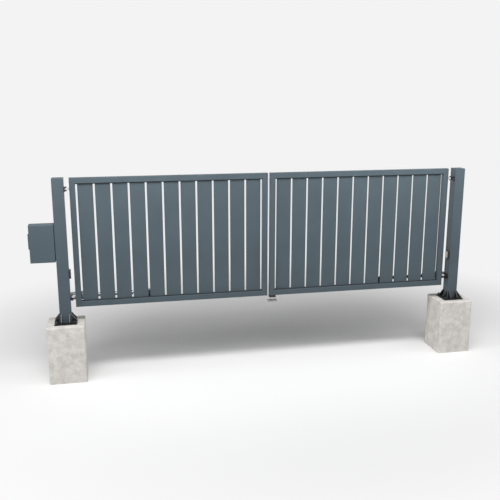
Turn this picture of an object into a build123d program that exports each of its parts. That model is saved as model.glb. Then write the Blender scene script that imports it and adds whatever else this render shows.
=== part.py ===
"""Electric double swing gate: slatted leaves between square posts on concrete blocks, each driven by a ram.

Millimetres. The origin is the centre of the left block's underside. +X runs along the gate to the right post,
+Y points to the inside, where the rams are and where the leaves open to, and +Z is up. Every piece of the
left half is modelled in place. The right half is its mirror image about the middle of the gate.
"""

import os

from build123d import *

os.makedirs("parts", exist_ok=True)

# The gate as a whole
opening_width = 3660
centre_gap = 22
hinge_gap = 45
ground_gap = 133

# Foundation blocks
block_width = 330
block_depth = 320
block_height = 532
block_edge = 16

# Posts with their caps
post_size = 100
post_wall = 4
post_corner = 5
post_above_leaf = 3
cap_thickness = 4
cap_edge = 1.5
cap_plug_depth = 14
cap_clearance = 0.5

# Post bases: plate and gussets, welded up as one foot
plate_size = 200
plate_thickness = 12
plate_corner = 6
gusset_length = 46
gusset_height = 74
gusset_toe = 15
gusset_thickness = 8
gusset_spacing = 70
gusset_snipe = 8

# Leaf frames and slats
leaf_height = 1170
tube_size = 50
tube_wall = 3
tube_corner = 4
slat_count = 11
slat_width = 134
slat_thickness = 15
slat_wall = 1.5
slat_corner = 1
slat_recess = 20

# Hinges: clevis bracket and pin on the post, eye bolt on the leaf
hinge_inset = 97
hinge_axis_out = 15
hinge_axis_back = 26
hinge_plate_width = 84
hinge_plate_height = 50
hinge_plate_thickness = 4
hinge_plate_corner = 12
hinge_ear_width = 20
hinge_ear_past = 7
hinge_ear_corner = 6
hinge_ear_thickness = 6
hinge_pin_radius = 4
hinge_pin_head_radius = 7
hinge_pin_head_height = 4
eye_radius = 10
eye_height = 20
eye_neck_width = 14
eye_neck_reach = 20
eye_nut_radius = 12
running_clearance = 0.08
ear_clearance = 0.5

# Photocells
photocell_width = 60
photocell_height = 80
photocell_depth = 18
photocell_corner = 8
photocell_edge = 3
photocell_rise = 450
photocell_forward = 12
lens_border = 9
lens_corner = 4
lens_depth = 3

# Control box on the outer side of the left post
box_width = 212
box_depth = 100
box_height = 337
box_rise = 569
box_wall = 3
box_corner = 4
box_door_depth = 18
box_door_edge = 4
box_seam = 1
box_spacer_thickness = 5
box_spacer_width = 60
box_spacer_height = 220
box_hinge_radius = 4.5
box_hinge_out = 5
box_knuckle_length = 68
box_knuckle_gap = 1
box_hinge_rise = 193

# Rams: the two pivots lie ram_offset behind the hinge axis, the post pivot also ram_offset beside it
ram_rise = 83
ram_offset = 65
ram_reach = 694
ram_eye_radius = 14
ram_eye_height = 22
ram_pin_radius = 6
ram_lug_width = 28
ram_lug_past = 14
ram_lug_corner = 8
ram_lug_thickness = 8
ram_lug_clearance = 1
ram_plate_thickness = 8
ram_plate_width = 52
ram_plate_height = 92
ram_plate_corner = 8
motor_start = 26
motor_length = 239
motor_height = 64
motor_width = 60
motor_corner = 14
motor_end_depth = 6
motor_end_inset = 5
collar_radius = 25
collar_length = 20
cover_length = 96
cover_width = 30
cover_height = 6
cover_corner = 6
gland_radius = 9
gland_length = 14
gland_inset = 34
tube_radius = 18
tube_length = 340
rod_radius = 10
rod_engaged = 60
rod_bore_spare = 8
leaf_plate_width = 60
leaf_plate_low = 3
leaf_plate_height = 108

# Stop under the meeting stile of the right leaf
stop_width = 60
stop_depth = 44
stop_height = 22
stop_wall = 5
stop_spindle_radius = 11
stop_spindle_length = 28
stop_foot_width = 88
stop_foot_depth = 46
stop_foot_height = 12
stop_foot_edge = 4

# Levels and places that follow from the sizes
post_spacing = opening_width + post_size
gate_centre = Plane.YZ.offset(post_spacing / 2)
post_face = post_size / 2
leaf_width = (opening_width - centre_gap) / 2 - hinge_gap
leaf_edge = post_face + hinge_gap
leaf_end = leaf_edge + leaf_width
leaf_bottom = block_height + ground_gap
leaf_top = leaf_bottom + leaf_height
leaf_back = post_face
leaf_front = leaf_back - tube_size
leaf_middle_y = leaf_front + tube_size / 2
plate_top = block_height + plate_thickness
post_top = leaf_top + post_above_leaf
hinge_x = post_face + hinge_axis_out
hinge_y = leaf_front + hinge_axis_back
ram_x = hinge_x - ram_offset
ram_y = hinge_y + ram_offset
ram_z = leaf_bottom + ram_rise
leaf_pivot_x = hinge_x + ram_reach


def write(piece, name):
    """Label one finished piece and write it out."""
    piece.part.label = name
    export_step(piece.part, f"parts/{name}.step")


def write_pair(piece, name):
    """Write a piece of the left half and its mirror image in the right half."""
    with BuildPart() as twin:
        mirror(piece.part, about=gate_centre)
    write(piece, f"left_{name}")
    write(twin, f"right_{name}")


def square_tube(size, corner, wall):
    """Outline of a square hollow section, drawn in the current sketch."""
    RectangleRounded(size, size, corner)
    Rectangle(size - 2 * wall, size - 2 * wall, mode=Mode.SUBTRACT)


def cut_corners(width, height, corner):
    """Outline of a plate with its corners cut off, drawn in the current sketch."""
    with BuildSketch(mode=Mode.PRIVATE) as plate:
        Rectangle(width, height)
        chamfer(plate.vertices(), length=corner)
    add(plate.sketch)


# Foundation block, cast in one piece with eased edges; the underside is flat
with BuildPart() as foundation_block:
    with BuildSketch():
        RectangleRounded(block_width, block_depth, block_edge)
    extrude(amount=block_height)
    chamfer(foundation_block.faces().sort_by(Axis.Z)[-1].edges(), length=block_edge / 2)
write_pair(foundation_block, "foundation_block")

# Post base: a plate with two upright gussets against each face of the post
with BuildPart() as gusset_pair:
    for side in (-1, 1):
        with BuildSketch(Plane.XZ.offset(side * gusset_spacing / 2)):
            with BuildLine():
                Polyline(
                    (post_face + gusset_snipe, plate_top),
                    (post_face + gusset_length, plate_top),
                    (post_face + gusset_length, plate_top + gusset_toe),
                    (post_face, plate_top + gusset_height),
                    (post_face, plate_top + gusset_snipe),
                    close=True,
                )
            make_face()
        extrude(amount=gusset_thickness / 2, both=True)

with BuildPart() as post_base:
    with BuildSketch(Plane.XY.offset(block_height)):
        cut_corners(plate_size, plate_size, plate_corner)
    extrude(amount=plate_thickness)
    with PolarLocations(0, 4):
        add(gusset_pair.part)
write_pair(post_base, "post_base")

# Post: square hollow section standing on the plate
with BuildPart() as post:
    with BuildSketch(Plane.XY.offset(plate_top)):
        square_tube(post_size, post_corner, post_wall)
    extrude(amount=post_top - cap_thickness - plate_top)
write_pair(post, "post")

# Cap: a flush cover with a plug that sits inside the tube
with BuildPart() as post_cap:
    with BuildSketch(Plane.XY.offset(post_top - cap_thickness)):
        RectangleRounded(post_size, post_size, post_corner)
    extrude(amount=cap_thickness)
    chamfer(post_cap.faces().sort_by(Axis.Z)[-1].edges(), length=cap_edge)
    with BuildSketch(Plane.XY.offset(post_top - cap_thickness)):
        plug_size = post_size - 2 * (post_wall + cap_clearance)
        Rectangle(plug_size, plug_size)
    extrude(amount=-cap_plug_depth)
write_pair(post_cap, "post_cap")


def mitre(corner_x, corner_z, toward_x, toward_z):
    """Cut the tube at 45 degrees through a corner of the leaf and keep the side that is pointed to."""
    split(bisect_by=Plane((corner_x, 0, corner_z), z_dir=(toward_x, 0, toward_z)), keep=Keep.TOP)


# Rails and stiles of the leaf: four lengths of square tube, mitred where they are welded
with BuildPart() as bottom_rail:
    with BuildSketch(Plane.YZ.offset(leaf_edge)):
        with Locations((leaf_middle_y, leaf_bottom + tube_size / 2)):
            square_tube(tube_size, tube_corner, tube_wall)
    extrude(amount=leaf_width)
    mitre(leaf_edge, leaf_bottom, 1, -1)
    mitre(leaf_end, leaf_bottom, -1, -1)
write_pair(bottom_rail, "bottom_rail")

with BuildPart() as top_rail:
    with BuildSketch(Plane.YZ.offset(leaf_edge)):
        with Locations((leaf_middle_y, leaf_top - tube_size / 2)):
            square_tube(tube_size, tube_corner, tube_wall)
    extrude(amount=leaf_width)
    mitre(leaf_edge, leaf_top, 1, 1)
    mitre(leaf_end, leaf_top, -1, 1)
write_pair(top_rail, "top_rail")

with BuildPart() as hinge_stile:
    with BuildSketch(Plane.XY.offset(leaf_bottom)):
        with Locations((leaf_edge + tube_size / 2, leaf_middle_y)):
            square_tube(tube_size, tube_corner, tube_wall)
    extrude(amount=leaf_height)
    mitre(leaf_edge, leaf_bottom, -1, 1)
    mitre(leaf_edge, leaf_top, -1, -1)
write_pair(hinge_stile, "hinge_stile")

with BuildPart() as meeting_stile:
    with BuildSketch(Plane.XY.offset(leaf_bottom)):
        with Locations((leaf_end - tube_size / 2, leaf_middle_y)):
            square_tube(tube_size, tube_corner, tube_wall)
    extrude(amount=leaf_height)
    mitre(leaf_end, leaf_bottom, 1, 1)
    mitre(leaf_end, leaf_top, 1, -1)
write_pair(meeting_stile, "meeting_stile")

# Slats: flat hollow boards between the rails, spaced evenly with a gap at each stile
slat_gap = (leaf_width - 2 * tube_size - slat_count * slat_width) / (slat_count + 1)
with BuildPart() as slats:
    with BuildSketch(Plane.XY.offset(leaf_bottom + tube_size)):
        with Locations((leaf_edge + leaf_width / 2, leaf_front + slat_recess + slat_thickness / 2)):
            with GridLocations(slat_width + slat_gap, 0, slat_count, 1):
                cut_corners(slat_width, slat_thickness, slat_corner)
                Rectangle(slat_width - 2 * slat_wall, slat_thickness - 2 * slat_wall, mode=Mode.SUBTRACT)
    extrude(amount=leaf_height - 2 * tube_size)
write_pair(slats, "slats")

# Hinges at both ends of the stile: the bracket's two ears hold the pin, and the eye bolt turns on it between
# them. A lock nut sits between the eye bolt's neck and the stile that it is screwed into.
ear_start = eye_height / 2 + ear_clearance
ear_end = ear_start + hinge_ear_thickness
ear_length = hinge_axis_out + hinge_ear_past
for level, hinge_z in (("lower", leaf_bottom + hinge_inset), ("upper", leaf_top - hinge_inset)):
    with BuildPart() as hinge_bracket:
        with BuildSketch(Plane.YZ.offset(post_face)):
            with Locations((0, hinge_z)):
                cut_corners(hinge_plate_width, hinge_plate_height, hinge_plate_corner)
        extrude(amount=hinge_plate_thickness)
        for ear_z in (hinge_z - ear_end, hinge_z + ear_start):
            with BuildSketch(Plane.XY.offset(ear_z)) as ear:
                with Locations((post_face + ear_length / 2, hinge_y)):
                    Rectangle(ear_length, hinge_ear_width)
                chamfer(ear.vertices().group_by(Axis.X)[-1], length=hinge_ear_corner)
            extrude(amount=hinge_ear_thickness)
        with BuildSketch(Plane.XY.offset(hinge_z - ear_end)):
            with Locations((hinge_x, hinge_y)):
                Circle(hinge_pin_radius)
        extrude(amount=2 * ear_end)
        for head_z in (hinge_z - ear_end - hinge_pin_head_height, hinge_z + ear_end):
            with BuildSketch(Plane.XY.offset(head_z)):
                with Locations((hinge_x, hinge_y)):
                    RegularPolygon(hinge_pin_head_radius, side_count=6)
            extrude(amount=hinge_pin_head_height)
    write_pair(hinge_bracket, f"{level}_hinge_bracket")

    with BuildPart() as hinge_eyebolt:
        with BuildSketch(Plane.XY.offset(hinge_z - eye_height / 2)):
            with Locations((hinge_x, hinge_y)):
                Circle(eye_radius)
            with Locations((hinge_x + eye_neck_reach / 2, hinge_y)):
                Rectangle(eye_neck_reach, eye_neck_width)
            with Locations((hinge_x, hinge_y)):
                Circle(hinge_pin_radius + running_clearance, mode=Mode.SUBTRACT)
        extrude(amount=eye_height)
        with BuildSketch(Plane.YZ.offset(hinge_x + eye_neck_reach)):
            with Locations((hinge_y, hinge_z)):
                RegularPolygon(eye_nut_radius, side_count=6, rotation=30)
        extrude(amount=leaf_edge - hinge_x - eye_neck_reach)
    write_pair(hinge_eyebolt, f"{level}_hinge_eyebolt")

# Photocell: a housing with cut corners on the post's inner face with a lens panel let into its front
photocell_z = block_height + photocell_rise
photocell_front = post_face + photocell_depth
with BuildPart() as photocell_housing:
    with BuildSketch(Plane.YZ.offset(post_face)):
        with Locations((-photocell_forward, photocell_z)):
            cut_corners(photocell_width, photocell_height, photocell_corner)
    extrude(amount=photocell_depth)
    chamfer(photocell_housing.faces().sort_by(Axis.X)[-1].edges(), length=photocell_edge)
    with BuildSketch(Plane.YZ.offset(photocell_front)):
        with Locations((-photocell_forward, photocell_z)):
            cut_corners(photocell_width - 2 * lens_border, photocell_height - 2 * lens_border, lens_corner)
    extrude(amount=-lens_depth, mode=Mode.SUBTRACT)
write_pair(photocell_housing, "photocell_housing")

with BuildPart() as photocell_lens:
    with BuildSketch(Plane.YZ.offset(photocell_front - lens_depth)):
        with Locations((-photocell_forward, photocell_z)):
            cut_corners(photocell_width - 2 * lens_border, photocell_height - 2 * lens_border, lens_corner)
    extrude(amount=lens_depth)
write_pair(photocell_lens, "photocell_lens")

# Control box: a deep tray closed by a shallow door, held off the post by a spacer. On the left edge the lower
# knuckle of the hinge belongs to the tray and the upper one to the door.
box_right = -post_face - box_spacer_thickness
box_left = box_right - box_width
box_middle = (box_left + box_right) / 2
box_front = -box_depth / 2
box_bottom = block_height + box_rise
box_seam_y = box_front + box_door_depth
knuckle_x = box_left - box_hinge_out
knuckle_z = box_bottom + box_hinge_rise

with BuildPart() as control_box_spacer:
    with BuildSketch(Plane.YZ.offset(-post_face)):
        with Locations((0, box_bottom + box_height / 2)):
            Rectangle(box_spacer_width, box_spacer_height)
    extrude(amount=-box_spacer_thickness)
write(control_box_spacer, "control_box_spacer")

with BuildPart() as control_box_body:
    with BuildSketch(Plane.XY.offset(box_bottom)):
        with Locations((box_middle, (box_seam_y + box_seam + box_depth / 2) / 2)):
            Rectangle(box_width, box_depth / 2 - box_seam_y - box_seam)
    extrude(amount=box_height)
    chamfer(control_box_body.faces().sort_by(Axis.Y)[-1].edges(), length=box_corner)
    with BuildSketch(Plane.XZ.offset(-box_seam_y - box_seam)):
        with Locations((box_middle, box_bottom + box_height / 2)):
            Rectangle(box_width - 2 * box_wall, box_height - 2 * box_wall)
    extrude(amount=-(box_depth / 2 - box_seam_y - box_seam - box_wall), mode=Mode.SUBTRACT)
    with BuildSketch(Plane.XY.offset(knuckle_z - box_knuckle_length - box_knuckle_gap / 2)):
        with Locations((knuckle_x, box_seam_y + box_seam / 2)):
            Circle(box_hinge_radius)
        with Locations((knuckle_x + box_hinge_out / 2, box_seam_y + box_seam + box_hinge_radius / 2)):
            Rectangle(box_hinge_out, box_hinge_radius)
    extrude(amount=box_knuckle_length)
write(control_box_body, "control_box_body")

with BuildPart() as control_box_door:
    with BuildSketch(Plane.XZ.offset(-box_seam_y)):
        with Locations((box_middle, box_bottom + box_height / 2)):
            Rectangle(box_width, box_height)
    extrude(amount=box_door_depth)
    chamfer(control_box_door.faces().sort_by(Axis.Y)[0].edges(), length=box_door_edge)
    with BuildSketch(Plane.XZ.offset(-box_seam_y)):
        with Locations((box_middle, box_bottom + box_height / 2)):
            Rectangle(box_width - 2 * box_wall, box_height - 2 * box_wall)
    extrude(amount=box_door_depth - box_wall, mode=Mode.SUBTRACT)
    with BuildSketch(Plane.XY.offset(knuckle_z + box_knuckle_gap / 2)):
        with Locations((knuckle_x, box_seam_y + box_seam / 2)):
            Circle(box_hinge_radius)
        with Locations((knuckle_x + box_hinge_out / 2, box_seam_y - box_hinge_radius / 2)):
            Rectangle(box_hinge_out, box_hinge_radius)
    extrude(amount=box_knuckle_length)
write(control_box_door, "control_box_door")


def ram_clevis(pivot_x, plate_back):
    """Two flat lugs from a back plate to the ram's pivot, above and below the eye, in the current part."""
    lug_start = ram_eye_height / 2 + ram_lug_clearance
    lug_end = ram_y + ram_lug_past
    for lug_z in (ram_z - lug_start - ram_lug_thickness, ram_z + lug_start):
        with BuildSketch(Plane.XY.offset(lug_z)) as lug:
            with Locations((pivot_x, (plate_back + lug_end) / 2)):
                Rectangle(ram_lug_width, lug_end - plate_back)
            chamfer(lug.vertices().group_by(Axis.Y)[-1], length=ram_lug_corner)
        extrude(lug.sketch, amount=ram_lug_thickness)


# Post bracket of the ram: a plate on the back of the post, two lugs and the pin that the ram swivels on
with BuildPart() as ram_post_bracket:
    with BuildSketch(Plane.XZ.offset(-post_face)):
        with Locations((0, ram_z)):
            cut_corners(ram_plate_width, ram_plate_height, ram_plate_corner)
    extrude(amount=-ram_plate_thickness)
    ram_clevis(ram_x, post_face)
    with BuildSketch(Plane.XY.offset(ram_z - ram_eye_height / 2 - ram_lug_clearance)):
        with Locations((ram_x, ram_y)):
            Circle(ram_pin_radius)
    extrude(amount=ram_eye_height + 2 * ram_lug_clearance)
write_pair(ram_post_bracket, "ram_post_bracket")

# Ram motor: a rounded die-cast housing between two end covers, with the swivel eye at the rear and a collar
# that takes the tube. The release cover lies on its top, and the cable gland points down beside the post.
body_length = motor_length - collar_length
collar_start = ram_x + motor_start + body_length
with BuildPart() as ram_motor:
    with BuildSketch(Plane.YZ.offset(ram_x + motor_start + motor_end_depth)):
        with Locations((ram_y, ram_z)):
            RectangleRounded(motor_width, motor_height, motor_corner)
    extrude(amount=body_length - 2 * motor_end_depth)
    with BuildSketch(Plane.YZ.offset(ram_x + motor_start)):
        with Locations((ram_y, ram_z)):
            end_width = motor_width - 2 * motor_end_inset
            end_height = motor_height - 2 * motor_end_inset
            RectangleRounded(end_width, end_height, motor_corner - motor_end_inset)
    extrude(amount=body_length)
    with BuildSketch(Plane.YZ.offset(collar_start)):
        with Locations((ram_y, ram_z)):
            Circle(collar_radius)
    extrude(amount=collar_length)
    with BuildSketch(Plane.XY.offset(ram_z + motor_height / 2)):
        with Locations(((ram_x + motor_start + collar_start) / 2, ram_y)):
            cut_corners(cover_length, cover_width, cover_corner)
    extrude(amount=cover_height)
    with BuildSketch(Plane.XY.offset(ram_z - motor_height / 2)):
        with Locations((ram_x + motor_start + gland_inset, ram_y)):
            Circle(gland_radius)
    extrude(amount=-gland_length)
    with BuildSketch(Plane.XY.offset(ram_z - ram_eye_height / 2)):
        with Locations((ram_x, ram_y)):
            Circle(ram_eye_radius)
        with Locations((ram_x + motor_start / 2, ram_y)):
            Rectangle(motor_start, 2 * ram_eye_radius)
    extrude(amount=ram_eye_height)
    with BuildSketch(Plane.XY.offset(ram_z - ram_eye_height / 2)):
        with Locations((ram_x, ram_y)):
            Circle(ram_pin_radius + running_clearance)
    extrude(amount=ram_eye_height, mode=Mode.SUBTRACT)
write_pair(ram_motor, "ram_motor")

# Ram tube: a round tube from the motor, bored for the rod over the length that the rod travels
tube_start = ram_x + motor_start + motor_length
tube_end = tube_start + tube_length
ram_stroke = 2 * ram_offset
with BuildPart() as ram_tube:
    with BuildSketch(Plane.YZ.offset(tube_start)):
        with Locations((ram_y, ram_z)):
            Circle(tube_radius)
    extrude(amount=tube_length)
    with BuildSketch(Plane.YZ.offset(tube_end)):
        with Locations((ram_y, ram_z)):
            Circle(rod_radius + running_clearance)
    extrude(amount=-(rod_engaged + ram_stroke + rod_bore_spare), mode=Mode.SUBTRACT)
write_pair(ram_tube, "ram_tube")

# Ram rod: a polished rod with a flat eye at the leaf end
with BuildPart() as ram_rod:
    with BuildSketch(Plane.YZ.offset(tube_end - rod_engaged)):
        with Locations((ram_y, ram_z)):
            Circle(rod_radius)
    extrude(amount=leaf_pivot_x - tube_end + rod_engaged)
    with BuildSketch(Plane.XY.offset(ram_z - ram_eye_height / 2)):
        with Locations((leaf_pivot_x, ram_y)):
            Circle(ram_eye_radius)
    extrude(amount=ram_eye_height)
write_pair(ram_rod, "ram_rod")

# Leaf bracket of the ram: a tall plate on the back of the bottom rail with two lugs for the rod's eye
with BuildPart() as ram_leaf_bracket:
    with BuildSketch(Plane.XZ.offset(-leaf_back)):
        with Locations((leaf_pivot_x, leaf_bottom + leaf_plate_low + leaf_plate_height / 2)):
            cut_corners(leaf_plate_width, leaf_plate_height, ram_plate_corner)
    extrude(amount=-ram_plate_thickness)
    ram_clevis(leaf_pivot_x, leaf_back)
write_pair(ram_leaf_bracket, "ram_leaf_bracket")

# Stop under the right leaf's meeting stile: a channel bracket, and a foot on a spindle
stop_left = post_spacing - leaf_end
stop_x = stop_left + stop_width / 2
with BuildPart() as leaf_stop_bracket:
    with BuildSketch(Plane.YZ.offset(stop_left)):
        with Locations((leaf_middle_y, leaf_bottom - stop_height / 2)):
            Rectangle(stop_depth, stop_height)
            Rectangle(stop_depth - 2 * stop_wall, stop_height - 2 * stop_wall, mode=Mode.SUBTRACT)
    extrude(amount=stop_width)
write(leaf_stop_bracket, "leaf_stop_bracket")

with BuildPart() as leaf_stop_foot:
    with BuildSketch(Plane.XY.offset(leaf_bottom - stop_height)):
        with Locations((stop_x, leaf_middle_y)):
            Circle(stop_spindle_radius)
    extrude(amount=-stop_spindle_length)
    with BuildSketch(Plane.XY.offset(leaf_bottom - stop_height - stop_spindle_length)):
        with Locations((stop_x, leaf_middle_y)):
            Rectangle(stop_foot_width, stop_foot_depth)
    extrude(amount=-stop_foot_height)
    chamfer(leaf_stop_foot.faces().sort_by(Axis.Z)[0].edges(), length=stop_foot_edge)
write(leaf_stop_foot, "leaf_stop_foot")
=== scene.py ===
"""The looks of an electric double swing gate, piece by piece in the order that a fitter puts it up.

Metres. +X runs along the gate from the left post to the right one, +Y to the inside where the rams
are, and +Z up.
"""

import math

import bmesh
import bpy
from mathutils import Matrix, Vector


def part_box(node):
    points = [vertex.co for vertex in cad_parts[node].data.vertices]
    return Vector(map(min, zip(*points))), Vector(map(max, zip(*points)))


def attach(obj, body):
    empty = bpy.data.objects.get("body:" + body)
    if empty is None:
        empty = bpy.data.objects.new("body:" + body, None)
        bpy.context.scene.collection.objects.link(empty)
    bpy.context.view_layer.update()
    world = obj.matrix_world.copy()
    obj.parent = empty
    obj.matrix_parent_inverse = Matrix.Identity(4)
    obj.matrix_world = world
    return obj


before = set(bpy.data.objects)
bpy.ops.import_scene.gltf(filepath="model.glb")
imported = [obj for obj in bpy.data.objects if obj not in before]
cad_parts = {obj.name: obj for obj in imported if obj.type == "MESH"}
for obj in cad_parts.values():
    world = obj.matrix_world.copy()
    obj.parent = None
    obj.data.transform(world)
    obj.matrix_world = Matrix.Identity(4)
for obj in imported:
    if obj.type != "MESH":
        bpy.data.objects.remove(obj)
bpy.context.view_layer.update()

# Foundation blocks: two lumps of fine concrete, cast in smooth steel forms and struck after a day. The
# form leaves soft grey clouds, sand grains and a few pin holes where air stayed at the face.


def linear(hex_colour):
    """A colour written as sRGB hex, in the linear values that a shader takes."""
    channels = [int(hex_colour[i:i + 2], 16) / 255 for i in (1, 3, 5)]
    return [c / 12.92 if c <= 0.04045 else ((c + 0.055) / 1.055) ** 2.4 for c in channels] + [1.0]


def add(tree, kind, inputs=None, **settings):
    """Add one node: settings by name, and inputs by name or number, each a value or what feeds it."""
    made = tree.nodes.new(kind)
    for name, value in settings.items():
        setattr(made, name, value)
    for key, value in (inputs or {}).items():
        feeds = value if isinstance(value, list) else [value]
        if isinstance(feeds[0], bpy.types.NodeSocket):
            for feed in feeds:
                tree.links.new(feed, made.inputs[key])
        else:
            made.inputs[key].default_value = value
    return made


def material(name, **constants):
    """A material with its tree, the place its patterns follow, and its shader with constants set."""
    made = bpy.data.materials.new(name)
    made.use_nodes = True
    tree = made.node_tree
    tree.nodes.clear()
    place = add(tree, "ShaderNodeTexCoord").outputs["Object"]
    on_sockets = {socket.replace("_", " "): value for socket, value in constants.items()}
    shader = add(tree, "ShaderNodeBsdfPrincipled", on_sockets)
    add(tree, "ShaderNodeOutputMaterial", {"Surface": shader.outputs[0]})
    return made, tree, place, shader


def dress(finish, *names):
    """Give CAD pieces their finish."""
    for name in names:
        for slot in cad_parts[name].material_slots:
            slot.material = finish


def pair(*names):
    """The names of pieces in the left and the right half of the gate."""
    return [f"{side}_{name}" for name in names for side in ("left", "right")]


# Cast concrete: matt and pale, with clouds a hand wide, salt-and-pepper sand that is drawn coarser so
# that it shows, and small pin holes darkened by painted shade
concrete, tree, place, shader = material("cast_concrete", Roughness=0.85)
cloud_mm, sand_mm, pinhole_spacing_mm = 75, 14, 24
cloud_dark, cloud_light = "#b7b3ae", "#d0cdc8"
sand_dark, sand_light = 0.89, 1.07
pinhole_painted_shade, pinhole_floor, pinhole_rim = 0.75, 0.06, 0.12
# A noise texture's values mostly stay between these two
usual_noise = {"From Min": 0.3, "From Max": 0.7}
clouds = add(tree, "ShaderNodeTexNoise", {
    "Vector": place, "Scale": 1000 / cloud_mm, "Detail": 6, "Roughness": 0.62,
})
sand = add(tree, "ShaderNodeTexNoise", {
    "Vector": place, "Scale": 1000 / sand_mm, "Detail": 4, "Roughness": 0.75,
})
pinholes = add(tree, "ShaderNodeTexVoronoi", {"Vector": place, "Scale": 1000 / pinhole_spacing_mm})
cloud_colour = add(tree, "ShaderNodeValToRGB", {"Fac": clouds.outputs["Fac"]})
dark_stop, light_stop = cloud_colour.color_ramp.elements
dark_stop.position, dark_stop.color = 0.33, linear(cloud_dark)
light_stop.position, light_stop.color = 0.62, linear(cloud_light)
sand_shade = add(tree, "ShaderNodeMapRange", {
    "Value": sand.outputs["Fac"], **usual_noise, "To Min": sand_dark, "To Max": sand_light,
})
# Painted shade: each pin hole is darkened to three quarters, standing for the shade inside the hole
pinhole_shade = add(tree, "ShaderNodeMapRange", {
    "Value": pinholes.outputs["Distance"], "From Min": pinhole_floor, "From Max": pinhole_rim,
    "To Min": pinhole_painted_shade, "To Max": 1,
})
shade = add(tree, "ShaderNodeMath", {
    0: sand_shade.outputs[0], 1: pinhole_shade.outputs[0],
}, operation="MULTIPLY")
tint = add(tree, "ShaderNodeVectorMath", {
    0: cloud_colour.outputs[0], "Scale": shade.outputs[0],
}, operation="SCALE")
relief = add(tree, "ShaderNodeBump", {
    "Height": shade.outputs[0], "Strength": 0.25, "Distance": 0.002,
})
tree.links.new(tint.outputs[0], shader.inputs["Base Color"])
tree.links.new(relief.outputs[0], shader.inputs["Normal"])
dress(concrete, *pair("foundation_block"))

# Post bases: a plate and eight gussets of steel, fillet welded into one foot and powder coated black.
# Each stands on four anchor bolts that are cast into the block, with a washer and a nut on the plate.


def powder_coat(name, colour, rough, **constants):
    """Baked powder: satin, with a faint drift in tone and the soft dimples of orange peel, which are
    drawn coarser so that they show.
    """
    made, tree, place, shader = material(name, **constants)
    peel_mm, drift_mm = 5, 240
    tone_swing, gloss_swing = 0.07, 0.05
    drift = add(tree, "ShaderNodeTexNoise", {"Vector": place, "Scale": 1000 / drift_mm, "Detail": 4})
    peel = add(tree, "ShaderNodeTexNoise", {"Vector": place, "Scale": 1000 / peel_mm, "Detail": 2})
    tone = add(tree, "ShaderNodeMapRange", {
        "Value": drift.outputs["Fac"], **usual_noise, "To Min": 1 - tone_swing, "To Max": 1 + tone_swing,
    })
    tint = add(tree, "ShaderNodeVectorMath", {
        0: linear(colour)[:3], "Scale": tone.outputs[0],
    }, operation="SCALE")
    gloss = add(tree, "ShaderNodeMapRange", {
        "Value": peel.outputs["Fac"], **usual_noise,
        "To Min": rough - gloss_swing, "To Max": rough + gloss_swing,
    })
    relief = add(tree, "ShaderNodeBump", {
        "Height": peel.outputs["Fac"], "Strength": 0.2, "Distance": 0.001,
    })
    tree.links.new(tint.outputs[0], shader.inputs["Base Color"])
    tree.links.new(gloss.outputs[0], shader.inputs["Roughness"])
    tree.links.new(relief.outputs[0], shader.inputs["Normal"])
    return made


black_coat = powder_coat("black_powder_coat", "#0d0f11", 0.3)
dress(black_coat, *pair("post_base"))


def sockets(tree, wanted):
    """Give a tree its geometry sockets and its named inputs, and return what the inputs give."""
    tree.interface.new_socket("Geometry", in_out="OUTPUT", socket_type="NodeSocketGeometry")
    for name, kind in {"Geometry": "Geometry", **wanted}.items():
        tree.interface.new_socket(name, in_out="INPUT", socket_type="NodeSocket" + kind)
    return add(tree, "NodeGroupInput").outputs


# One fixing on every point, turned to the point's "outward" direction: a washer, a head or nut with its
# top edge eased, and the end of a stud. Six sides make a hexagon, sixteen a round screw head.
fixing_tree = bpy.data.node_groups.new("fixing", "GeometryNodeTree")
given = sockets(fixing_tree, {
    "Sides": "Int", "Head Radius": "Float", "Head Height": "Float",
    "Washer Radius": "Float", "Washer Thickness": "Float",
    "Stud Radius": "Float", "Stud Height": "Float", "Seed": "Int", "Finish": "Material",
})
eased_share, eased_scale = 0.2, 0.84
straight = add(fixing_tree, "ShaderNodeMath", {
    0: given["Head Height"], 1: 1 - eased_share,
}, operation="MULTIPLY")
easing = add(fixing_tree, "ShaderNodeMath", {
    0: given["Head Height"], 1: eased_share,
}, operation="MULTIPLY")
head = add(fixing_tree, "GeometryNodeMeshCylinder", {
    "Vertices": given["Sides"], "Radius": given["Head Radius"], "Depth": straight.outputs[0],
})
crown = add(fixing_tree, "GeometryNodeExtrudeMesh", {
    "Mesh": head.outputs["Mesh"], "Selection": head.outputs["Top"], "Offset Scale": easing.outputs[0],
})
eased = add(fixing_tree, "GeometryNodeScaleElements", {
    "Geometry": crown.outputs["Mesh"], "Selection": crown.outputs["Top"], "Scale": eased_scale,
})
washer = add(fixing_tree, "GeometryNodeMeshCylinder", {
    "Vertices": 24, "Radius": given["Washer Radius"], "Depth": given["Washer Thickness"],
})
stud = add(fixing_tree, "GeometryNodeMeshCylinder", {
    "Vertices": 16, "Radius": given["Stud Radius"], "Depth": given["Stud Height"],
})
washer_middle = add(fixing_tree, "ShaderNodeMath", {
    0: given["Washer Thickness"], 1: 0.5,
}, operation="MULTIPLY")
head_middle = add(fixing_tree, "ShaderNodeMath", {
    0: straight.outputs[0], 1: 0.5, 2: given["Washer Thickness"],
}, operation="MULTIPLY_ADD")
head_top = add(fixing_tree, "ShaderNodeMath", {
    0: given["Washer Thickness"], 1: given["Head Height"],
}, operation="ADD")
stud_middle = add(fixing_tree, "ShaderNodeMath", {
    0: given["Stud Height"], 1: 0.5, 2: head_top.outputs[0],
}, operation="MULTIPLY_ADD")
stack = []
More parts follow.
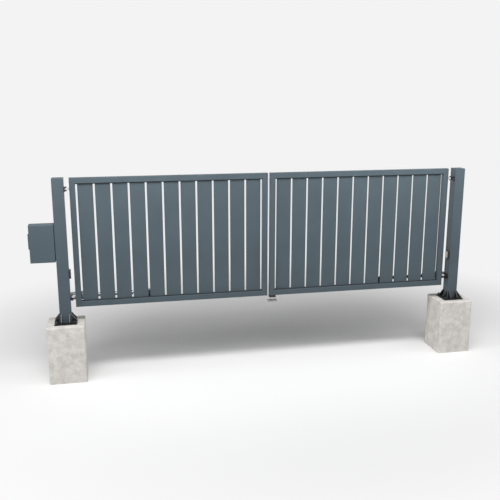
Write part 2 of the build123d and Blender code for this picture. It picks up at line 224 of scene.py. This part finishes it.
for shape, level, height in (
    (washer, washer_middle, "Washer Thickness"),
    (eased, head_middle, "Head Height"),
    (stud, stud_middle, "Stud Height"),
):
    up = add(fixing_tree, "ShaderNodeCombineXYZ", {"Z": level.outputs[0]})
    placed = add(fixing_tree, "GeometryNodeTransform", {
        "Geometry": shape.outputs[0], "Translation": up.outputs[0],
    })
    wanted = add(fixing_tree, "FunctionNodeCompare", {
        "A": given[height], "B": 0.0,
    }, operation="GREATER_THAN")
    kept = add(fixing_tree, "GeometryNodeSwitch", {
        "Switch": wanted.outputs[0], "True": placed.outputs[0],
    })
    stack.append(kept.outputs[0])
joined = add(fixing_tree, "GeometryNodeJoinGeometry", {"Geometry": stack[::-1]})
outward = add(fixing_tree, "GeometryNodeInputNamedAttribute", {
    "Name": "outward",
}, data_type="FLOAT_VECTOR")
aim = add(fixing_tree, "FunctionNodeAlignRotationToVector", {"Vector": outward.outputs[0]}, axis="Z")
set_out = add(fixing_tree, "GeometryNodeInstanceOnPoints", {
    "Points": given["Geometry"], "Instance": joined.outputs[0], "Rotation": aim.outputs[0],
})
chance = add(fixing_tree, "FunctionNodeRandomValue", {
    "Min": (0, 0, 0), "Max": (0, 0, math.radians(60)), "Seed": given["Seed"],
}, data_type="FLOAT_VECTOR")
turn = add(fixing_tree, "FunctionNodeEulerToRotation", {0: chance.outputs[0]})
turned = add(fixing_tree, "GeometryNodeRotateInstances", {
    "Instances": set_out.outputs[0], "Rotation": turn.outputs[0],
})
real = add(fixing_tree, "GeometryNodeRealizeInstances", {0: turned.outputs[0]})
finished = add(fixing_tree, "GeometryNodeSetMaterial", {
    0: real.outputs[0], "Material": given["Finish"],
})
add(fixing_tree, "NodeGroupOutput", {0: finished.outputs[0]})

# A round bead along every edge: rippled it is a run of weld, and plain it is a rubber cord
bead_tree = bpy.data.node_groups.new("bead", "GeometryNodeTree")
given = sockets(bead_tree, {
    "Radius": "Float", "Pitch": "Float", "Ripple": "Float", "Seed": "Float", "Finish": "Material",
})
steps_a_ripple = 4
lumps_a_metre = 90
path = add(bead_tree, "GeometryNodeMeshToCurve", {0: given["Geometry"]})
step = add(bead_tree, "ShaderNodeMath", {0: given["Pitch"], 1: steps_a_ripple}, operation="DIVIDE")
stepped = add(bead_tree, "GeometryNodeResampleCurve", {
    "Curve": path.outputs[0], "Length": step.outputs[0],
}, mode="LENGTH")
along = add(bead_tree, "GeometryNodeSplineParameter")
ripples = add(bead_tree, "ShaderNodeMath", {
    0: along.outputs["Length"], 1: given["Pitch"],
}, operation="DIVIDE")
phase = add(bead_tree, "ShaderNodeMath", {0: ripples.outputs[0], 1: math.tau}, operation="MULTIPLY")
wave = add(bead_tree, "ShaderNodeMath", {0: phase.outputs[0]}, operation="SINE")
unevenness = add(bead_tree, "ShaderNodeTexNoise", {
    "W": given["Seed"], "Scale": lumps_a_metre,
}, noise_dimensions="4D")
swell = add(bead_tree, "ShaderNodeMath", {
    0: wave.outputs[0], 1: unevenness.outputs["Fac"],
}, operation="ADD")
thickness = add(bead_tree, "ShaderNodeMath", {
    0: swell.outputs[0], 1: given["Ripple"], 2: 1.0,
}, operation="MULTIPLY_ADD")
section = add(bead_tree, "GeometryNodeCurvePrimitiveCircle", {
    "Resolution": 8, "Radius": given["Radius"],
})
laid = add(bead_tree, "GeometryNodeCurveToMesh", {
    "Curve": stepped.outputs[0], "Profile Curve": section.outputs[0],
    "Scale": thickness.outputs[0], "Fill Caps": True,
})
smooth = add(bead_tree, "GeometryNodeSetShadeSmooth", {0: laid.outputs[0]})
real = add(bead_tree, "GeometryNodeRealizeInstances", {0: smooth.outputs[0]})
finished = add(bead_tree, "GeometryNodeSetMaterial", {
    0: real.outputs[0], "Material": given["Finish"],
})
add(bead_tree, "NodeGroupOutput", {0: finished.outputs[0]})


def piece(name, mesh, finish, body):
    """Put a finished mesh in the scene as a piece of one body."""
    made = bpy.data.objects.new(name, mesh)
    bpy.context.scene.collection.objects.link(made)
    if not mesh.materials:
        mesh.materials.append(finish)
    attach(made, body)


def grow(name, tree, start, sizes, finish, body):
    """Run a tree on a starting mesh and keep the result as a plain mesh, a piece of one body."""
    source = bpy.data.objects.new(name + "_start", start)
    bpy.context.scene.collection.objects.link(source)
    nodes = source.modifiers.new("tree", "NODES")
    nodes.node_group = tree
    inputs = [item for item in tree.interface.items_tree if item.in_out == "INPUT"]
    identifiers = {item.name: item.identifier for item in inputs}
    for label, value in {**sizes, "Finish": finish}.items():
        nodes[identifiers[label]] = value
    grown = source.evaluated_get(bpy.context.evaluated_depsgraph_get())
    result = bpy.data.meshes.new_from_object(grown)
    bpy.data.objects.remove(source)
    result.name = name
    piece(name, result, finish, body)


def fixings(name, spots, sizes, finish, body):
    """Bolts, nuts or screws at (place, outward direction) spots."""
    start = bpy.data.meshes.new(name + "_spots")
    start.from_pydata([place for place, out in spots], [], [])
    start.attributes.new("outward", "FLOAT_VECTOR", "POINT")
    directions = [c for place, out in spots for c in out]
    start.attributes["outward"].data.foreach_set("vector", directions)
    grow(name, fixing_tree, start, {"Seed": 4, **sizes}, finish, body)


def beads(name, lines, sizes, finish, body):
    """Welds or rubber cords along straight lines, each given by its two ends."""
    start = bpy.data.meshes.new(name + "_lines")
    edges = [(2 * i, 2 * i + 1) for i in range(len(lines))]
    start.from_pydata([end for line in lines for end in line], edges, [])
    grow(name, bead_tree, start, {"Seed": 4.0, **sizes}, finish, body)


def fixing_sizes(head_radius, head_height, washer=(0.0, 0.0), stud=(0.0, 0.0), sides=6):
    """A fixing's sizes in its tree's own names. A washer and a stud are each (radius, height)."""
    return {
        "Sides": sides, "Head Radius": head_radius, "Head Height": head_height,
        "Washer Radius": washer[0], "Washer Thickness": washer[1],
        "Stud Radius": stud[0], "Stud Height": stud[1],
    }


def hexagon(flats, height, **more):
    """The sizes of a hexagon head or nut, by its width across flats."""
    return fixing_sizes(flats / math.sqrt(3), height, **more)


def around_post(middle, quarter, out, across, z):
    """A place by its distance out from the post's middle and across one of the post's four faces."""
    cosine, sine = round(math.cos(quarter * math.pi / 2)), round(math.sin(quarter * math.pi / 2))
    return (middle[0] + out * cosine - across * sine, middle[1] + out * sine + across * cosine, z)


plate_thickness = 0.012
anchor_inset = 0.022
post_half = 0.050
gusset_offset, gusset_half, gusset_snipe = 0.035, 0.004, 0.008
weld_toe_inset, weld_top_inset = 0.006, 0.004
fillet_weld = {"Radius": 0.0034, "Pitch": 0.008, "Ripple": 0.06}
m14_nut = hexagon(0.022, 0.011, washer=(0.015, 0.0028), stud=(0.007, 0.007))
for side in ("left", "right"):
    low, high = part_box(f"{side}_post_base")
    middle = ((low[0] + high[0]) / 2, (low[1] + high[1]) / 2)
    plate_top, weld_top = low[2] + plate_thickness, high[2] - weld_top_inset
    reach = (high[0] - low[0]) / 2
    corner = reach - anchor_inset
    spots = [
        ((middle[0] + sx * corner, middle[1] + sy * corner, plate_top), (0, 0, 1))
        for sx in (-1, 1) for sy in (-1, 1)
    ]
    fixings(f"{side}_anchor_nuts", spots, m14_nut, black_coat, "posts")
    lines = []
    for quarter in range(4):
        lines.append((
            around_post(middle, quarter, post_half, -post_half, plate_top),
            around_post(middle, quarter, post_half, post_half, plate_top),
        ))
        for gusset in (-gusset_offset, gusset_offset):
            for across in (gusset - gusset_half, gusset + gusset_half):
                heel = around_post(middle, quarter, post_half + gusset_snipe, across, plate_top)
                toe = around_post(middle, quarter, reach - weld_toe_inset, across, plate_top)
                foot = around_post(middle, quarter, post_half, across, plate_top + gusset_snipe)
                top = around_post(middle, quarter, post_half, across, weld_top)
                lines += [(heel, toe), (foot, top)]
    beads(f"{side}_base_welds", lines, fillet_weld, black_coat, "posts")

# Posts: 100 mm square hollow section, blasted and powder coated in anthracite. The flush caps are
# pushed into the tops and coated with them.
anthracite_coat = powder_coat("anthracite_powder_coat", "#404c53", 0.62, Specular_IOR_Level=0.35)
dress(anthracite_coat, *pair("post", "post_cap"))

# Leaf frames: four lengths of 50 mm square tube, mitred, welded and ground before the coat goes on, so
# that the mitres show as a fine raised line.
dress(anthracite_coat, *pair("bottom_rail", "top_rail", "hinge_stile", "meeting_stile"))
tube_size = 0.050
mitre_ease = 0.003
ground_weld = {"Radius": 0.0009, "Pitch": 0.006, "Ripple": 0.1}
for side in ("left", "right"):
    rail_low, rail_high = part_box(f"{side}_bottom_rail")
    leaf_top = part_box(f"{side}_top_rail")[1][2]
    lines = []
    for face_y in (rail_low[1], rail_high[1]):
        for outer_x, toward_x in ((rail_low[0], 1), (rail_high[0], -1)):
            for outer_z, toward_z in ((rail_low[2], 1), (leaf_top, -1)):
                lines.append(tuple(
                    (outer_x + toward_x * run, face_y, outer_z + toward_z * run)
                    for run in (mitre_ease, tube_size - mitre_ease)
                ))
    beads(
        f"{side}_mitre_welds", lines, ground_weld, anthracite_coat,
        f"{side}_leaf",
    )

# Slats: flat extruded boards, coated like the frame. Their ends stand between two cords of black rubber
# that are pressed in along the rails, front and back, and keep the boards from rattling. The black of
# the
# cords is also painted shade: a dark line for the shade that the rails cast on the recessed slats.
dress(anthracite_coat, *pair("slats"))

# Extruded rubber: near black and matt, with a greyish bloom in patches
rubber, tree, place, shader = material("black_rubber", Roughness=0.8)
bloom_mm = 30
bloom = add(tree, "ShaderNodeTexNoise", {"Vector": place, "Scale": 1000 / bloom_mm, "Detail": 4})
bloom_colour = add(tree, "ShaderNodeValToRGB", {"Fac": bloom.outputs["Fac"]})
bloom_colour.color_ramp.elements[0].color = linear("#0a0b0c")
bloom_colour.color_ramp.elements[1].color = linear("#191b1c")
tree.links.new(bloom_colour.outputs[0], shader.inputs["Base Color"])

cord_radius = 0.004
cord_half_sunk, cord_off_rail = cord_radius / 2, cord_radius * 0.8
# Painted shade: these black cords run just inside the rails, where the rails shade the slat ends
slat_cord_and_shade_line = {"Radius": cord_radius, "Pitch": 0.2, "Ripple": 0.0}
for side in ("left", "right"):
    slat_low, slat_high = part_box(f"{side}_slats")
    rail_low, rail_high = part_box(f"{side}_bottom_rail")
    start_x, end_x = rail_low[0] + tube_size, rail_high[0] - tube_size
    lines = [
        ((start_x, y, z), (end_x, y, z))
        for y in (slat_low[1] - cord_half_sunk, slat_high[1] + cord_half_sunk)
        for z in (slat_low[2] + cord_off_rail, slat_high[2] - cord_off_rail)
    ]
    beads(f"{side}_slat_seals_and_shade_lines", lines, slat_cord_and_shade_line, rubber, f"{side}_leaf")

# Hinges: a black plate with two ears is bolted to the post and holds the pin. The eye bolt on the leaf
# is hot-dip galvanised, with a lock nut against the stile.
dress(black_coat, *pair("lower_hinge_bracket", "upper_hinge_bracket"))

# Hot-dip galvanised steel: pale grey metal with spangle, crystals of zinc in slightly different tones
# and gloss. Weathered zinc is half dull oxide, so it is only about half metallic.
zinc, tree, place, shader = material("galvanised_steel", Metallic=0.55)
spangle_mm = 6
spangle = add(tree, "ShaderNodeTexVoronoi", {
    "Vector": place, "Scale": 1000 / spangle_mm, "Randomness": 1.0,
})
spangle_tone = add(tree, "ShaderNodeSeparateColor", {0: spangle.outputs["Color"]})
spangle_colour = add(tree, "ShaderNodeValToRGB", {"Fac": spangle_tone.outputs[0]})
spangle_colour.color_ramp.elements[0].color = linear("#c3c7c8")
spangle_colour.color_ramp.elements[1].color = linear("#e6e8e8")
spangle_gloss = add(tree, "ShaderNodeMapRange", {
    "Value": spangle_tone.outputs[1], "To Min": 0.35, "To Max": 0.55,
})
tree.links.new(spangle_colour.outputs[0], shader.inputs["Base Color"])
tree.links.new(spangle_gloss.outputs[0], shader.inputs["Roughness"])
dress(zinc, *pair("lower_hinge_eyebolt", "upper_hinge_eyebolt"))

hinge_plate_thickness = 0.004
hinge_bolts_y, hinge_bolts_z = (-0.026, -0.002), (-0.015, 0.015)
m6_bolt = hexagon(0.010, 0.004, washer=(0.006, 0.0012))
for side, inward in (("left", 1), ("right", -1)):
    spots = []
    for level in ("lower", "upper"):
        low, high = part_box(f"{side}_{level}_hinge_bracket")
        plate_x = low[0] + hinge_plate_thickness if inward > 0 else high[0] - hinge_plate_thickness
        middle_z = (low[2] + high[2]) / 2
        spots += [
            ((plate_x, y, middle_z + dz), (inward, 0, 0)) for y in hinge_bolts_y for dz in hinge_bolts_z
        ]
    fixings(f"{side}_hinge_bolts", spots, m6_bolt, black_coat, "posts")

# Photocells: a moulded black housing on the inner face of each post, with a pale lens panel clipped in
# and two screws through the rim.


def moulded(name, colour, rough, grain_mm, **constants):
    """A skin from a mould: an even colour under the mould's grain, drawn coarser so that it shows."""
    made, tree, place, shader = material(name, **constants)
    tone_swing, gloss_swing = 0.15, 0.06
    grain = add(tree, "ShaderNodeTexNoise", {
        "Vector": place, "Scale": 1000 / grain_mm, "Detail": 3, "Roughness": 0.7,
    })
    tone = add(tree, "ShaderNodeMapRange", {
        "Value": grain.outputs["Fac"], **usual_noise, "To Min": 1 - tone_swing, "To Max": 1 + tone_swing,
    })
    tint = add(tree, "ShaderNodeVectorMath", {
        0: linear(colour)[:3], "Scale": tone.outputs[0],
    }, operation="SCALE")
    gloss = add(tree, "ShaderNodeMapRange", {
        "Value": grain.outputs["Fac"], **usual_noise,
        "To Min": rough - gloss_swing, "To Max": rough + gloss_swing,
    })
    relief = add(tree, "ShaderNodeBump", {
        "Height": grain.outputs["Fac"], "Strength": 0.15, "Distance": 0.0006,
    })
    tree.links.new(tint.outputs[0], shader.inputs["Base Color"])
    tree.links.new(gloss.outputs[0], shader.inputs["Roughness"])
    tree.links.new(relief.outputs[0], shader.inputs["Normal"])
    return made


# Moulded ABS is dull and near black, and the polycarbonate lens is a pale smoky beige under a clear skin
abs_black = moulded("moulded_abs", "#0c0d0e", 0.5, 2.5)
polycarbonate = moulded(
    "smoked_polycarbonate", "#b3aa9d", 0.2, 9, Coat_Weight=0.6, Coat_Roughness=0.08,
)
dress(abs_black, *pair("photocell_housing"))
dress(polycarbonate, *pair("photocell_lens"))
photocell_screw_inset = 0.0055
pan_screw = fixing_sizes(0.0024249, 0.0014, sides=16)
for side, inward in (("left", 1), ("right", -1)):
    low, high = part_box(f"{side}_photocell_housing")
    front_x = high[0] if inward > 0 else low[0]
    middle_y = (low[1] + high[1]) / 2
    spots = [
        ((front_x, middle_y, z), (inward, 0, 0))
        for z in (low[2] + photocell_screw_inset, high[2] - photocell_screw_inset)
    ]
    fixings(f"{side}_photocell_screws", spots, pan_screw, zinc, "posts")

# Control box: a folded steel tray with a shallow door, coated like the posts. A rubber cord in the seam
# keeps rain out, and a plain galvanised plate inside, on four screws, takes the controls.
dress(anthracite_coat, "control_box_body", "control_box_door", "control_box_spacer")


def sheet_plate(name, low, high, edge, finish, body):
    """A flat sheet with its edges eased, between two corners."""
    mesh = bpy.data.meshes.new(name)
    work = bmesh.new()
    bmesh.ops.create_cube(work, size=1.0)
    for vertex in work.verts:
        vertex.co = [low[i] + (vertex.co[i] + 0.5) * (high[i] - low[i]) for i in range(3)]
    bmesh.ops.bevel(work, geom=work.edges[:], offset=edge, segments=2, affect="EDGES", profile=0.5)
    work.to_mesh(mesh)
    work.free()
    piece(name, mesh, finish, body)


body_low, body_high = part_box("control_box_body")
box_wall, box_width = 0.003, 0.212
box_left = body_high[0] - box_width
knuckle_radius, half_seam = 0.0045, 0.0005
seal_inset, seal_sink = 0.006, 0.002
seal_cord = {"Radius": 0.003, "Pitch": 0.1, "Ripple": 0.0}
seal_y = body_low[1] + knuckle_radius + half_seam + seal_sink
seal_left, seal_right = box_left + seal_inset, body_high[0] - seal_inset
seal_low, seal_high = body_low[2] + seal_inset, body_high[2] - seal_inset
corners = [
    (seal_left, seal_y, seal_low), (seal_right, seal_y, seal_low),
    (seal_right, seal_y, seal_high), (seal_left, seal_y, seal_high),
]
lines = [(corners[i], corners[(i + 1) % 4]) for i in range(4)]
beads("control_box_seal", lines, seal_cord, rubber, "posts")

tray_margin, tray_stand_off, tray_thickness, tray_edge = 0.022, 0.006, 0.002, 0.0006
tray_screw_inset = 0.012
m5_screw = hexagon(0.008, 0.003, washer=(0.006, 0.001))
tray_back = body_high[1] - box_wall - tray_stand_off
tray_low = (box_left + tray_margin, tray_back - tray_thickness, body_low[2] + tray_margin)
tray_high = (body_high[0] - tray_margin, tray_back, body_high[2] - tray_margin)
sheet_plate("control_box_tray", tray_low, tray_high, tray_edge, zinc, "posts")
spots = [
    ((x, tray_low[1], z), (0, -1, 0))
    for x in (tray_low[0] + tray_screw_inset, tray_high[0] - tray_screw_inset)
    for z in (tray_low[2] + tray_screw_inset, tray_high[2] - tray_screw_inset)
]
fixings("control_box_tray_screws", spots, m5_screw, zinc, "posts")

# Rams: a die-cast motor housing swivels on the post bracket and drives a screw in the drawn tube, which
# moves the chromed rod. Bolts through the lugs are the pivots, and hexagon bolts hold both brackets. A
# turned ring closes the tube around the rod, and a plastic nut closes the gland under the motor.
dress(black_coat, *pair("ram_post_bracket", "ram_leaf_bracket"))

# Lacquered die casting: a dark metallic grey with a glossy skin and a faint unevenness from the mould
lacquered_casting = moulded("lacquered_die_casting", "#63686c", 0.15, 14, Metallic=0.9)
dress(lacquered_casting, *pair("ram_motor"))

# Anodised aluminium: a dark, glossy drawn tube with fine lines along its length, drawn coarser so that
# they show
anodised, tree, place, shader = material("anodised_aluminium", Metallic=1.0)
draw_length_mm, draw_width_mm = 300, 3
stretched = add(tree, "ShaderNodeVectorMath", {
    0: place, 1: (1000 / draw_length_mm, 1000 / draw_width_mm, 1000 / draw_width_mm),
}, operation="MULTIPLY")
drawn = add(tree, "ShaderNodeTexNoise", {"Vector": stretched.outputs[0], "Scale": 1.0, "Detail": 3})
drawn_colour = add(tree, "ShaderNodeValToRGB", {"Fac": drawn.outputs["Fac"]})
drawn_colour.color_ramp.elements[0].color = linear("#63676a")
drawn_colour.color_ramp.elements[1].color = linear("#8a8e91")
drawn_gloss = add(tree, "ShaderNodeMapRange", {
    "Value": drawn.outputs["Fac"], "To Min": 0.1, "To Max": 0.26,
})
tree.links.new(drawn_colour.outputs[0], shader.inputs["Base Color"])
tree.links.new(drawn_gloss.outputs[0], shader.inputs["Roughness"])
dress(anodised, *pair("ram_tube"))

# Hard chrome on the rod: a bright mirror, crossed by the faint rings of the grinding wheel, drawn
# coarser so that they show. A wave texture turns through 20 radians for each unit of its scale.
chrome, tree, place, shader = material("hard_chrome", Metallic=1.0, Base_Color=linear("#dadcdd"))
ring_mm = 25
wave_radians = 20
rings = add(tree, "ShaderNodeTexWave", {
    "Vector": place, "Scale": 1000 / ring_mm * math.tau / wave_radians, "Distortion": 0.5,
})
ring_gloss = add(tree, "ShaderNodeMapRange", {
    "Value": rings.outputs["Fac"], "To Min": 0.06, "To Max": 0.16,
})
tree.links.new(ring_gloss.outputs[0], shader.inputs["Roughness"])
dress(chrome, *pair("ram_rod"))


def ring(name, profile, centre, finish, body):
    """A turned ring about a line along X: a closed profile of (distance along X, radius) points."""
    around, count = 48, len(profile)
    verts, faces = [], []
    for i in range(around):
        across, up = math.cos(math.tau * i / around), math.sin(math.tau * i / around)
        here, there = i * count, (i + 1) % around * count
        for j, (x, radius) in enumerate(profile):
            verts.append((centre[0] + x, centre[1] + radius * across, centre[2] + radius * up))
            k = (j + 1) % count
            faces.append((here + j, here + k, there + k, there + j))
    mesh = bpy.data.meshes.new(name)
    mesh.from_pydata(verts, [], faces)
    work = bmesh.new()
    work.from_mesh(mesh)
    bmesh.ops.recalc_face_normals(work, faces=work.faces[:])
    work.to_mesh(mesh)
    work.free()
    piece(name, mesh, finish, body)


ram_plate_thickness = 0.008
lug_face_rise = 0.020
post_bolts_x, post_bolts_z = (-0.015, 0.015), (-0.034, 0.034)
leaf_bolts_x, leaf_bolt_rise = (-0.019, 0.019), 0.022
motor_rear, motor_front, motor_half_height = 0.026, 0.245, 0.032
cover_screws_x, cover_screws_y = (-0.040, 0.040), (-0.009, 0.009)
end_screws_y, end_screws_z = (-0.020, 0.020), (-0.022, 0.022)
gland_inset = 0.034
wiper_profile = (
    (-0.016, 0.0182), (-0.016, 0.0205), (-0.013, 0.0215), (0.002, 0.0215),
    (0.005, 0.0185), (0.005, 0.0104), (0.0, 0.0102), (0.0, 0.0182),
)
m12_washer = (0.012, 0.002)
m12_head = hexagon(0.018, 0.0075, washer=m12_washer)
m12_nut = hexagon(0.018, 0.0075, washer=m12_washer, stud=(0.006, 0.004))
m8_bolt = hexagon(0.013, 0.0053, washer=(0.008, 0.0016))
motor_screw = fixing_sizes(0.0031754, 0.0022, sides=16)
gland_nut = hexagon(0.021, 0.005)
for side, inward in (("left", 1), ("right", -1)):
    post_low, post_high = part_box(f"{side}_ram_post_bracket")
    leaf_low, leaf_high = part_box(f"{side}_ram_leaf_bracket")
    tube_low, tube_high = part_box(f"{side}_ram_tube")
    post_x, leaf_x = (post_low[0] + post_high[0]) / 2, (leaf_low[0] + leaf_high[0]) / 2
    ram_y, ram_z = (tube_low[1] + tube_high[1]) / 2, (tube_low[2] + tube_high[2]) / 2
    plate_y = post_low[1] + ram_plate_thickness
    for end, pivot_x, body in (("post", post_x, "posts"), ("leaf", leaf_x, f"{side}_leaf")):
        top = ((pivot_x, ram_y, ram_z + lug_face_rise), (0, 0, 1))
        bottom = ((pivot_x, ram_y, ram_z - lug_face_rise), (0, 0, -1))
        fixings(f"{side}_ram_{end}_pivot_head", [top], m12_head, zinc, body)
        fixings(f"{side}_ram_{end}_pivot_nut", [bottom], m12_nut, zinc, body)
    spots = [
        ((post_x + dx, plate_y, ram_z + dz), (0, 1, 0)) for dx in post_bolts_x for dz in post_bolts_z
    ]
    fixings(f"{side}_ram_post_bolts", spots, m8_bolt, zinc, "posts")
    spots = [((leaf_x + dx, plate_y, leaf_low[2] + leaf_bolt_rise), (0, 1, 0)) for dx in leaf_bolts_x]
    fixings(f"{side}_ram_leaf_bolts", spots, m8_bolt, zinc, f"{side}_leaf")

    rear_x, front_x = post_x + inward * motor_rear, post_x + inward * motor_front
    cover_x, cover_top = (rear_x + front_x) / 2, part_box(f"{side}_ram_motor")[1][2]
    spots = [
        ((cover_x + dx, ram_y + dy, cover_top), (0, 0, 1))
        for dx in cover_screws_x for dy in cover_screws_y
    ]
    for end_x, out in ((rear_x, -inward), (front_x, inward)):
        spots += [
            ((end_x, ram_y + dy, ram_z + dz), (out, 0, 0)) for dy in end_screws_y for dz in end_screws_z
        ]
    fixings(f"{side}_motor_screws", spots, motor_screw, zinc, f"{side}_ram")
    spots = [((rear_x + inward * gland_inset, ram_y, ram_z - motor_half_height), (0, 0, -1))]
    fixings(f"{side}_gland_nut", spots, gland_nut, abs_black, f"{side}_ram")
    wiper_place = (tube_high[0] if inward > 0 else tube_low[0], ram_y, ram_z)
    profile = [(inward * x, radius) for x, radius in wiper_profile]
    ring(f"{side}_rod_wiper", profile, wiper_place, anodised, f"{side}_ram")

# Stop: a short black channel under the right leaf's meeting stile, with a rubber foot on a threaded
# spindle that a large galvanised nut locks.
dress(black_coat, "leaf_stop_bracket")

# Grey rubber: matt and mid grey, with a scuffed, paler bloom
grey_rubber = moulded("grey_rubber", "#7e7b77", 0.75, 6)
dress(grey_rubber, "leaf_stop_foot")
stop_nut = hexagon(0.036, 0.018)
low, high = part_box("leaf_stop_bracket")
spots = [(((low[0] + high[0]) / 2, (low[1] + high[1]) / 2, low[2]), (0, 0, -1))]
fixings("leaf_stop_nut", spots, stop_nut, zinc, "right_leaf")

# Studio: a pale seamless floor, one large soft key lamp high in front of the gate, a strip lamp over
# each half, a weaker lamp at each side and a low wide one behind, with a trace of even fill. Away from
# the gate the floor fades into the tone of the backdrop, so that no horizon shows. Towards the front the
# floor's glow is made up to 11% brighter, which is painted light.
gate_middle = 1.88
floor_size = 80
floor_tone, backdrop_tone = "#efefef", "#f3f3f3"
pool_right, pool_back, pool_narrowing = 0.15, 0.5, 0.88
paint_radius, glow_radius, even_radius = 1.4, 3.9, 14
# Painted light: the share by which the glow is lifted in front of the gate, and the depth it ramps over
painted_light_lift, painted_light_depth = 0.11, 2
bpy.ops.mesh.primitive_plane_add(size=floor_size, location=(gate_middle, 0, 0))
floor = bpy.context.object
floor.name = "studio_floor"
floor_finish = bpy.data.materials.new("studio_floor_paint")
floor_finish.use_nodes = True
tree = floor_finish.node_tree
tree.nodes.clear()
place = add(tree, "ShaderNodeTexCoord").outputs["Object"]
paint = add(tree, "ShaderNodeBsdfDiffuse", {"Color": linear(floor_tone)})
pool = add(tree, "ShaderNodeMapping", {
    "Vector": place, "Location": (-pool_right, -pool_back, 0), "Scale": (pool_narrowing, 1, 1),
})
radius = add(tree, "ShaderNodeVectorMath", {0: pool.outputs[0]}, operation="LENGTH").outputs["Value"]
depth = add(tree, "ShaderNodeSeparateXYZ", {0: place})
# Painted light: the glow grows brighter towards the front and fades out beyond the glow radius
painted_light_front = add(tree, "ShaderNodeMapRange", {
    "Value": depth.outputs["Y"], "From Min": painted_light_depth, "From Max": -painted_light_depth,
    "To Min": 0, "To Max": painted_light_lift,
})
painted_light_reach = add(tree, "ShaderNodeMapRange", {
    "Value": radius, "From Min": glow_radius, "From Max": even_radius, "To Min": 1, "To Max": 0,
})
strength = add(tree, "ShaderNodeMath", {
    0: painted_light_front.outputs[0], 1: painted_light_reach.outputs[0], 2: 1.0,
}, operation="MULTIPLY_ADD")
glow = add(tree, "ShaderNodeEmission", {
    "Color": linear(backdrop_tone), "Strength": strength.outputs[0],
})
fade = add(tree, "ShaderNodeMapRange", {
    "Value": radius, "From Min": paint_radius, "From Max": glow_radius,
}, interpolation_type="SMOOTHSTEP")
blend = add(tree, "ShaderNodeMixShader", {0: fade.outputs[0], 1: paint.outputs[0], 2: glow.outputs[0]})
add(tree, "ShaderNodeOutputMaterial", {"Surface": blend.outputs[0]})
floor.data.materials.append(floor_finish)


def softbox(name, watts, width, height, place, aim):
    """A rectangular lamp behind a diffuser, turned to what it lights."""
    lamp = bpy.data.lights.new(name, "AREA")
    lamp.shape = "RECTANGLE"
    lamp.size, lamp.size_y = width, height
    lamp.energy = watts
    stand = bpy.data.objects.new(name, lamp)
    stand.location = place
    stand.rotation_euler = (Vector(aim) - Vector(place)).to_track_quat("-Z", "Y").to_euler()
    stand.visible_camera = False
    bpy.context.scene.collection.objects.link(stand)


softbox("key_softbox", 1250, 11.0, 11.0, (-0.3, -8.4, 11.0), (gate_middle, 0.2, 0.6))
softbox("left_strip_softbox", 37, 3.5, 0.5, (0.0, -0.85, 2.6), (0.0, 0.0, 0.9))
softbox("right_strip_softbox", 42, 3.5, 0.5, (3.96, -0.85, 2.6), (3.96, 0.0, 0.9))
softbox("left_side_softbox", 185, 4.0, 4.0, (-7.0, -2.0, 3.5), (gate_middle, 0.0, 1.0))
softbox("right_side_softbox", 55, 4.0, 4.0, (11.0, -2.0, 3.5), (gate_middle, 0.0, 1.0))
softbox("back_softbox", 125, 10.0, 1.8, (gate_middle, 6.0, 1.3), (gate_middle, 0.0, 1.2))

fill_strength = 0.02
world = bpy.data.worlds.new("studio")
bpy.context.scene.world = world
world.use_nodes = True
tree = world.node_tree
tree.nodes.clear()
ray = add(tree, "ShaderNodeLightPath").outputs
seen = add(tree, "ShaderNodeMath", {
    0: ray["Is Camera Ray"], 1: ray["Is Glossy Ray"],
}, operation="MAXIMUM")
seen = add(tree, "ShaderNodeMath", {
    0: seen.outputs[0], 1: ray["Is Transmission Ray"],
}, operation="MAXIMUM")
fill = add(tree, "ShaderNodeBackground", {"Color": linear("#ffffff"), "Strength": fill_strength})
backdrop = add(tree, "ShaderNodeBackground", {"Color": linear(backdrop_tone), "Strength": 1})
chosen = add(tree, "ShaderNodeMixShader", {
    0: seen.outputs[0], 1: fill.outputs[0], 2: backdrop.outputs[0],
})
add(tree, "ShaderNodeOutputWorld", {"Surface": chosen.outputs[0]})

# Camera: a little above head height, in front of the left leaf, looking down and to the right at the
# whole gate
camera_tilt, camera_turn = math.radians(13.176), math.radians(11.664)
camera_data = bpy.data.cameras.new("camera")
camera_data.lens = 49.63
camera = bpy.data.objects.new("camera", camera_data)
camera.location = (0.4307, -6.1445, 2.5886)
camera.rotation_euler = (math.pi / 2 - camera_tilt, 0, -camera_turn)
bpy.context.scene.collection.objects.link(camera)
bpy.context.scene.camera = camera
bpy.context.scene.view_settings.view_transform = "Standard"
